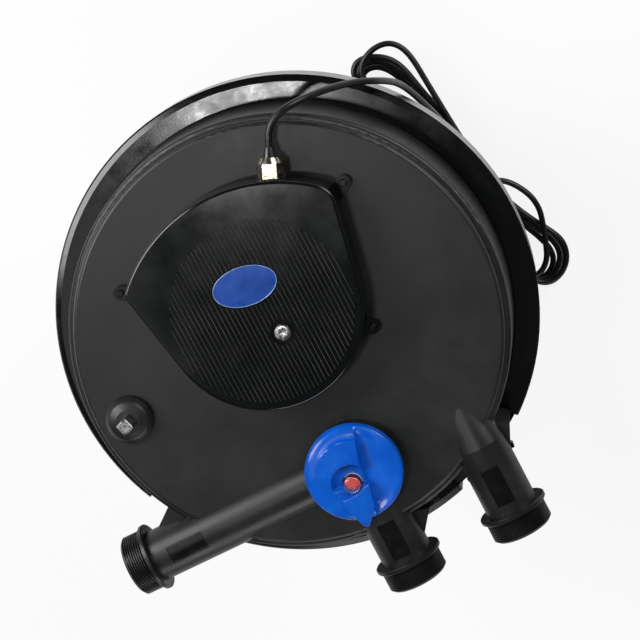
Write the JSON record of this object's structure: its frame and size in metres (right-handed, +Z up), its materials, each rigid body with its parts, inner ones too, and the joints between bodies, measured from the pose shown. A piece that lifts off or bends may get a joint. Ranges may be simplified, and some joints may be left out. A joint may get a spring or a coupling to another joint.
{
  "type": "pond filter",
  "caption": "Round pressure pond filter: tapered tub, tall lid with threaded hose ports, blue diverter dial, ribbed lamp housing, clamp ring and a crank that turns the foam core.",
  "frame": {"origin": "centre of the tub's base, on the ground", "axes": "+Z up along the tub's axis, -Y towards the two front ports, -X towards the long port"},
  "size_m": [0.489, 0.5029, 0.4957],
  "materials": {
    "tub_plastic": "textured black",
    "lid_plastic": "fine grained black",
    "clamp_plastic": "gloss black",
    "port_plastic": "matte dark grey",
    "housing_plastic": "gloss black",
    "blue_plastic": "gloss blue",
    "black_screw": "gloss black",
    "white_plastic": "matte white",
    "lamp_glass": "clear tube",
    "clear_glass": "clear",
    "seal_rubber": "black rubber",
    "cord_rubber": "black rubber",
    "nickel": "nickel plate",
    "steel": "stainless",
    "cast_steel": "cast silver",
    "foam_blue": "open foam",
    "foam_red": "open foam",
    "foam_purple": "open foam",
    "float_red": "gloss red"
  },
  "bodies": {
    "filter": {"badge": "blue_plastic", "ballast": "port_plastic", "bypass_fitting": "port_plastic", "clamp_band": "clamp_plastic", "clamp_hinge_pin": "steel", "cord_hank": "cord_rubber", "cord_tail": "cord_rubber", "cover_bracket": "port_plastic", "cover_screw": "black_screw", "drive_bush": "lid_plastic", "gland_body": "nickel", "gland_nut": "nickel", "gland_seal": "cord_rubber", "inlet_fitting": "port_plastic", "lamp_socket": "white_plastic", "lid": "lid_plastic", "lid_seal": "seal_rubber", "lug_screws": "black_screw", "mains_plug": "cord_rubber", "outlet_fitting": "port_plastic", "power_cord": "cord_rubber", "quartz_sleeve": "clear_glass", "shaft_seal": "seal_rubber", "sleeve_nut": "port_plastic", "sleeve_seal": "seal_rubber", "tub": "tub_plastic", "uv_base": "housing_plastic", "uv_cover": "housing_plastic", "uv_lamp": "lamp_glass", "valve_cap": "lid_plastic"},
    "gate": {"clamp_gate": "clamp_plastic", "latch_pin": "steel"},
    "latch": {"latch_lever": "clamp_plastic"},
    "diverter": {"valve_rotor": "port_plastic", "valve_knob": "blue_plastic", "indicator_dome": "clear_glass"},
    "float": {"indicator_float": "float_red"},
    "crank": {"drive_shaft": "cast_steel", "drive_pinion": "port_plastic"},
    "core": {"core_base_plate": "port_plastic", "core_tube": "port_plastic", "core_gear_plate": "port_plastic", "foam_coarse": "foam_blue", "foam_medium": "foam_red", "foam_fine": "foam_purple", "foam_grids": "port_plastic"}
  },
  "joints": [
    {"name": "valve_turn", "type": "hinge", "parent": "filter", "child": "diverter", "pos_m": [0, -0.1383, 0.436], "axis": [0, 0, 1], "range_deg": [-76.6, 103.4]},
    {"name": "indicator_lift", "type": "slide", "parent": "diverter", "child": "float", "axis": [0, 0, 1], "range_m": [0, 0.002]},
    {"name": "gate_swing", "type": "hinge", "parent": "filter", "child": "gate", "pos_m": [-0.18361, -0.14345, 0.345], "axis": [0, 0, -1], "range_deg": [0, 35]},
    {"name": "latch_turn", "type": "hinge", "parent": "gate", "child": "latch", "pos_m": [0.07716, -0.22409, 0.349], "axis": [0, 0, -1], "range_deg": [0, 122.5]},
    {"name": "drive_spin", "type": "hinge", "parent": "filter", "child": "crank", "pos_m": [-0.16995, -0.004, 0.4], "axis": [0, 0, 1], "continuous": true},
    {"name": "core_spin", "type": "hinge", "parent": "filter", "child": "core", "pos_m": [0, 0, 0.18], "axis": [0, 0, 1], "continuous": true}
  ],
  "couplings": [
    {"joint": "latch_turn", "follows": "gate_swing", "ratio": 3.5},
    {"joint": "drive_spin", "follows": "core_spin", "ratio": -5.5385}
  ]
}
